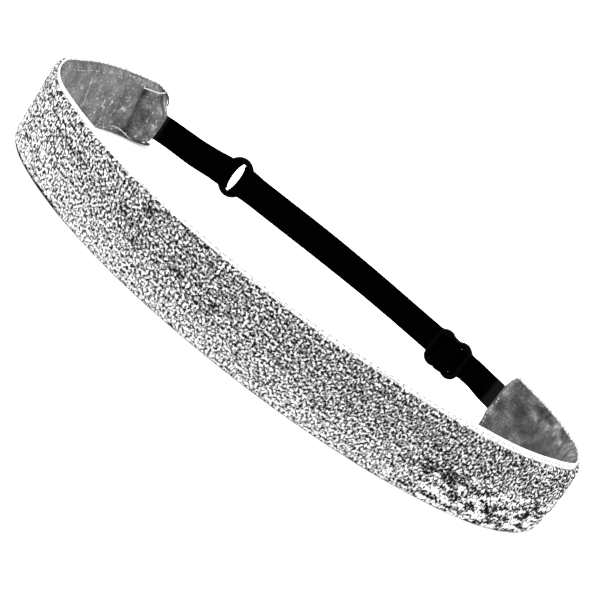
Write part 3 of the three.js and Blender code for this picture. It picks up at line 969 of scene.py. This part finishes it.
def adjust_route():
    """From the right pocket through the slide, round the ring and back round the slide's middle bar."""
    bar = SLIDE_THICKNESS / 2 + STRAP_GAP + STRAP_THICKNESS / 2
    over = bar + STRAP_GAP + STRAP_THICKNESS
    rise = math.radians(SLIDE_WEAVE_ANGLE)
    dip_along, dip_offset = over * math.cos(rise), -over * math.sin(rise)
    corner = dip_along + (bar - dip_offset) * math.tan(rise)
    clear = SLIDE_REACH + STRAP_THICKNESS
    fold = RING_AT + RING_FOLD + RING_LAYER
    exit_mark = STRAP.length - POCKET_LENGTH - TAB_EXIT
    before, after = SLIDE_AT - SLIDE_WEAVE_BEND, SLIDE_AT + SLIDE_WEAVE_BEND
    return np.vstack([
        [(STRAP.length, 0)],
        ease((exit_mark, 0), (SLIDE_AT + clear, bar)),
        bezier([(after, bar), (SLIDE_AT + corner, bar), (SLIDE_AT + dip_along, dip_offset)], 10),
        arc(SLIDE_AT, over, -SLIDE_WEAVE_ANGLE, SLIDE_WEAVE_ANGLE - 180),
        bezier([(SLIDE_AT - dip_along, dip_offset), (SLIDE_AT - corner, bar), (before, bar)], 10),
        ease((SLIDE_AT - clear, bar), (fold, -RING_LAYER)),
        arc(fold, RING_LAYER, 270, 90),
        ease((fold, RING_LAYER), (SLIDE_AT - clear, over)),
        bezier([
            (before, over),
            (SLIDE_AT - corner, over),
            (SLIDE_AT - corner / 2, bar),
            (SLIDE_AT, bar),
        ], 12),
        arc(SLIDE_AT, bar, 90, -180, 24),
    ])


def even_route(route):
    """A route's points at even steps, the direction across the elastic at each, and the route's length."""
    steps = np.linalg.norm(np.diff(route, axis=0), axis=1)
    route = route[np.concatenate([[True], steps > TINY])]
    marks = line_marks(route)
    places = np.linspace(0, marks[-1], round(marks[-1] / STRAP_STEP) + 1)
    points = np.column_stack([np.interp(places, marks, route[:, k]) for k in range(2)])
    run = unit(np.gradient(points, axis=0))
    return points, np.column_stack([-run[:, 1], run[:, 0]]), marks[-1]


def slide_spread(place):
    """How much the elastic widens at the slide: hardly in its windows, more in front of it and behind."""
    near = smooth(np.abs(place[:, 0] - SLIDE_AT), *SLIDE_SPREAD_SPAN)
    inside, front, behind = SLIDE_SPREAD
    outside = np.where(place[:, 1] < 0, front, behind) * smooth(np.abs(place[:, 1]), *SLIDE_CLEAR)
    return near * (inside + outside)


def elastic_strap(name, route, node, material):
    """Woven elastic along a route, with ribs and round edges, spread and bowed in the ring's folds."""
    points, across_run, length = even_route(route)
    last = len(points) - 1
    strap, along, across, through = cut_strip(name, length, STRAP_WIDTH, last, STRAP_ROWS)
    column = np.rint(along / length * last).astype(int)
    from_edge = np.clip(np.minimum(across, 1 - across) * STRAP_WIDTH / STRAP_EDGE, 0, 1)
    round_edge = np.sqrt(np.clip(1 - (1 - from_edge) ** 2, STRAP_EDGE_LEAST, 1))
    ribs = RIB_HEIGHT * np.cos(2 * math.pi * (across - 0.5) * STRAP_WIDTH / RIB_PITCH)
    side = (1 - 2 * through) * (STRAP_THICKNESS / 2 - RIB_HEIGHT + ribs) * round_edge
    place = points[column] + across_run[column] * side[:, None]

    past_ring = points[column, 0] - RING_AT
    folded = smooth(np.abs(past_ring), RING_FOLD_REACH, RING_FOLD)
    width = STRAP_WIDTH + (RING_FOLD_WIDTH - STRAP_WIDTH) * folded + slide_spread(place)
    row = 2 * across - 1
    bow = RING_FOLD_BOW * (1 - np.sqrt(1 - RING_BOW_SHARE * row ** 2)) * -np.sign(past_ring)
    slope = math.tan(math.radians(RING_TURN))
    turn = slope * row * RING_FOLD_WIDTH / 2
    in_ring = place[:, 0] + folded * bow - RING_AT
    drop = slope * in_ring * smooth(np.abs(in_ring), 2 * RING_FOLD, RING_FOLD)
    middle, _, up, outward = STRAP.at(place[:, 0] + folded * (bow + turn))
    offset = outward * place[:, 1:2] + up * (row * width / 2 - drop)[:, None]
    set_points(strap, to_frame(middle + offset))
    face_outwards(strap)
    bpy.ops.object.shade_smooth()
    from_end = np.minimum(points[column, 0], STRAP.length - points[column, 0])
    paint(strap, "faded", smooth(from_end, *FADED_SPAN))
    finish_piece(strap, material, node)


# Hardware

def strap_axes(distance):
    """Matrix from a piece of hardware's own axes to the frame, at its place on the strap."""
    point, along, up, outward = (value[0] for value in STRAP.at(np.array([distance])))
    axes = Matrix(np.column_stack([along, up, -outward]).tolist()).to_4x4()
    return Matrix.Translation(Vector(to_frame(point))) @ axes


def ring_piece(material):
    """Oval ring with the fine seam of its mould round the outside."""
    bpy.ops.mesh.primitive_torus_add(
        major_radius=RING_RADIUS * MM, minor_radius=RING_WIRE * MM, major_segments=96, minor_segments=24)
    ring = just_added("strap_ring")
    points = points_of(ring)
    radius = np.linalg.norm(points[:, :2], axis=1)
    on_seam = (radius > RING_RADIUS * MM) & (np.abs(points[:, 2]) < TINY)
    points[on_seam, :2] *= (1 + RING_SEAM * MM / radius[on_seam])[:, None]
    points[:, 0] *= RING_SQUEEZE
    set_points(ring, points)
    ring.data.transform(strap_axes(RING_AT) @ Matrix.Rotation(-math.radians(RING_TURN), 4, "Z"))
    bpy.ops.object.shade_smooth()
    finish_piece(ring, material, "ring")


def slide_piece(material):
    """Figure-eight slide: the plate's own outline with its edges rolled over."""
    plate = frame["nodes"]["slide"]
    slide = add_object("strap_slide", plate.data.copy())
    slide.data.name = "strap_slide"
    select_only(slide)
    bpy.ops.object.mode_set(mode="EDIT")
    bpy.ops.mesh.select_all(action="SELECT")
    bpy.ops.mesh.remove_doubles(threshold=TINY)
    bpy.ops.mesh.dissolve_limited(angle_limit=math.radians(2))
    bpy.ops.object.mode_set(mode="OBJECT")
    edge = slide.modifiers.new("edge", "BEVEL")
    edge.width = SLIDE_EDGE * MM
    edge.segments = 2
    edge.limit_method = "ANGLE"
    edge.angle_limit = math.radians(30)
    bpy.ops.object.modifier_apply(modifier="edge")
    bpy.ops.object.shade_smooth_by_angle(angle=math.radians(35))
    finish_piece(slide, material, "slide")


def add_object(name, mesh):
    added = bpy.data.objects.new(name, mesh)
    bpy.context.scene.collection.objects.link(added)
    return added


# Sewing

def stitch_form(length, radius, sides=6, rings=4):
    """One stitch, along x: a short bead of thread that dips at both ends."""
    share = np.linspace(0, 1, rings + 1)
    swelling = np.sin(math.pi * np.clip(share, *STITCH_ENDS)) ** 0.5
    angles = np.linspace(0, 2 * math.pi, sides, endpoint=False)
    points = [((x - 0.5) * length, radius * s * math.cos(a), radius * s * math.sin(a))
              for x, s in zip(share, swelling) for a in angles]
    faces = []
    for ring in range(rings):
        here, there = ring * sides, (ring + 1) * sides
        for i in range(sides):
            beside = (i + 1) % sides
            faces.append((here + i, here + beside, there + beside, there + i))
    faces += [tuple(reversed(range(sides))), tuple(rings * sides + i for i in range(sides))]
    return np.array(points), faces


def repeat_form(name, form, places, runs, inwards, material):
    """One piece of many small forms, each at its place, along its run and turned to face inwards."""
    form_points, form_faces = form
    points, faces = [], []
    for place, run, inward in zip(places, unit(runs), inwards):
        inward = unit(inward - run * inward.dot(run))
        axes = np.array([run, np.cross(inward, run), inward])
        faces += [tuple(len(points) + i for i in face) for face in form_faces]
        points.extend(place + form_points @ axes)
    mesh = bpy.data.meshes.new(name)
    mesh.from_pydata(to_frame(np.array(points)).tolist(), [], faces)
    piece = add_object(name, mesh)
    face_outwards(piece)
    bpy.ops.object.shade_smooth()
    finish_piece(piece, material)


def sew(name, rows, material, length, radius):
    """Stitches of one thread: each row gives stations, depths and heights, and the stitches follow it."""
    paths = [wall_points(*row) for row in rows]
    inner = [wall_points(stations, depths + 1, heights) for stations, depths, heights in rows]
    runs = np.vstack([np.gradient(path, axis=0) for path in paths])
    path = np.vstack(paths)
    repeat_form(name, stitch_form(length, radius), path, runs, np.vstack(inner) - path, material)


def edge_row(depth_of, share, insets, start, stop, kept=1.0):
    """Row of stitches along the lower edge or the upper one, uneven where only a part of them is kept."""
    uneven = kept < 1
    stations = np.arange(start, stop, STITCH_PITCH)
    stations = stations + rng.uniform(-ROW_SCATTER, ROW_SCATTER, len(stations)) * uneven
    heights = strip_heights(stations, np.full(len(stations), share), insets)
    heights = heights + rng.uniform(-ROW_WANDER, ROW_WANDER, len(stations)) * uneven
    chosen = rng.random(len(stations)) < kept
    return stations[chosen], depth_of(stations, heights)[chosen], heights[chosen]


def hem_row():
    """Row of stitches up the right end of the velvet."""
    heights = np.arange(*HEM_HEIGHTS, HEM_PITCH)
    heights = heights + rng.uniform(-HEM_SCATTER, HEM_SCATTER, len(heights))
    stations = RIGHT.length - HEM_INSET + rng.uniform(-HEM_WANDER, HEM_WANDER, len(heights))
    return stations, velvet_depth(stations, heights) + HEM_LIFT, heights


def face_depth(stations, _):
    return np.zeros(len(stations))


def sew_band(threads):
    """Stitches along the lining's edges, up its right end, and along the white border."""
    first, last = ROW_MARGIN - LEFT.length, RIGHT.length - ROW_MARGIN
    low_row = edge_row(velvet_depth, 0.0, LINING_INSETS, first, last, LINING_KEPT)
    top_row = edge_row(velvet_depth, 1.0, LINING_INSETS, first, LINING_TOP_STOP, LINING_KEPT)
    sew("lining_stitches", [low_row, top_row, hem_row()], threads["pale"], length=0.8, radius=0.19)
    # Border stitches: white thread painted darker for its shade
    border_row = edge_row(face_depth, 1.0, BORDER_INSETS, BORDER_START, last)
    sew("border_stitches", [border_row], threads["grey_and_shade"], length=1.15, radius=0.12)


def add_fringe(name, fringe, start, stop, material):
    """Short fibres that stand out of the velvet's upper edge at all slants."""
    stations = np.arange(start, stop, fringe.pitch)
    count = len(stations)
    heights = strip_heights(stations, 1.0, LINING_BORDER)
    depths = velvet_depth(stations, heights) - rng.uniform(*FIBRE_ROOTS, count)
    roots = wall_points(stations, depths, heights)
    slant = rng.uniform(*FIBRE_SLANTS, count)
    rise = fringe.reach * rng.uniform(*FIBRE_RISES, count)
    tips = wall_points(stations + slant, depths + rng.uniform(*FIBRE_LEANS, count), heights + rise)
    inner = wall_points(stations, depths + 1, heights) - roots
    form = stitch_form(FIBRE_LENGTH, fringe.radius, sides=3, rings=2)
    repeat_form(name, form, roots, tips - roots, inner, material)


def lay_thread(thread, tab, material):
    """A loose thread through its places on a tab."""
    end, heights, lift = np.array(thread.places, float).T
    stations = tab.side * (half_of(tab).length - end)
    path = to_frame(wall_points(stations, velvet_depth(stations, heights) + lift, heights))
    bpy.ops.curve.primitive_nurbs_path_add()
    strand = bpy.context.object
    line = strand.data.splines[0]
    line.points.add(len(path) - len(line.points))
    for point, place in zip(line.points, path):
        point.co = (*place, 1)
    line.use_endpoint_u = True
    strand.data.bevel_depth = thread.radius * MM
    strand.data.bevel_resolution = 1
    strand.data.resolution_u = 6
    strand.data.use_fill_caps = True
    bpy.ops.object.convert(target="MESH")
    strand = just_added(thread.name)
    face_outwards(strand)
    bpy.ops.object.shade_smooth()
    finish_piece(strand, material)


def build_band():
    glitter_cloth()
    ribbon_cloth()
    velvet_cloth()
    threads = {shade: thread_finish(f"{shade}_thread", tone) for shade, tone in THREAD_TONES.items()}
    fibres = {shade: thread_finish(f"{shade}_fibre", tone) for shade, tone in FIBRE_TONES.items()}
    sew_band(threads)
    left_start = LEFT_FRINGE_MARGIN - LEFT.length
    add_fringe("left_fringe", LEFT_FRINGE, left_start, LEFT_FRINGE_STOP, fibres["dark"])
    add_fringe("right_fringe", RIGHT_FRINGE, RIGHT_FRINGE_START, RIGHT.length, fibres["grey_and_shade"])
    for thread in LEFT_THREADS:
        lay_thread(thread, LEFT_TAB, threads[thread.shade])


def build_strap():
    elastic = elastic_finish()
    plastic = hardware_finish()
    elastic_strap("anchor_elastic", anchor_route(), "anchor_loop", elastic)
    elastic_strap("adjust_elastic", adjust_route(), "adjust_strap", elastic)
    ring_piece(plastic)
    slide_piece(plastic)


# Studio

def build_studio():
    """White floor, even white light all round and one softbox."""
    bpy.ops.mesh.primitive_plane_add(size=FLOOR_SIZE * MM, location=(0, 0, -FLOOR_DROP * MM))
    floor = just_added("floor")
    finish = Finish("pale_floor", Base_Color=(0.95, 0.95, 0.95, 1), Roughness=0.95, Specular_IOR_Level=0.0)
    floor.data.materials.append(finish.material)
    world = bpy.data.worlds.new("studio")
    bpy.context.scene.world = world
    world.use_nodes = True
    background = world.node_tree.nodes["Background"]
    background.inputs["Color"].default_value = (1, 1, 1, 1)
    background.inputs["Strength"].default_value = WORLD_STRENGTH
    place = Vector(KEY_PLACE) * MM
    bpy.ops.object.light_add(type="AREA", location=place)
    lamp = bpy.context.object
    lamp.name = "key"
    lamp.data.size = KEY_SIZE * MM
    lamp.data.energy = KEY_POWER
    lamp.rotation_euler = (-place).to_track_quat("-Z", "Y").to_euler()
    bpy.context.scene.view_settings.view_transform = "Standard"


def build_camera():
    """The photograph's camera: above the front, looking down and rolled."""
    tilt = math.radians(CAMERA_ELEVATION)
    roll = math.radians(CAMERA_ROLL)
    level = Vector((1, 0, 0))
    rise = Vector((0, math.sin(tilt), math.cos(tilt)))
    ahead = Vector((0, math.cos(tilt), -math.sin(tilt)))
    right = level * math.cos(roll) + rise * math.sin(roll)
    up = rise * math.cos(roll) - level * math.sin(roll)
    bpy.ops.object.camera_add()
    camera = bpy.context.object
    camera.data.lens = FOCAL_PIXELS * camera.data.sensor_width / PHOTO_PIXELS
    camera.data.clip_start = CAMERA_NEAR * MM
    turn = Matrix((right, up, -ahead)).transposed().to_4x4()
    camera.matrix_world = Matrix.Translation(Vector(to_frame(CAMERA_PLACE))) @ turn
    bpy.context.scene.camera = camera


build_camera()
build_studio()
build_band()
build_strap()
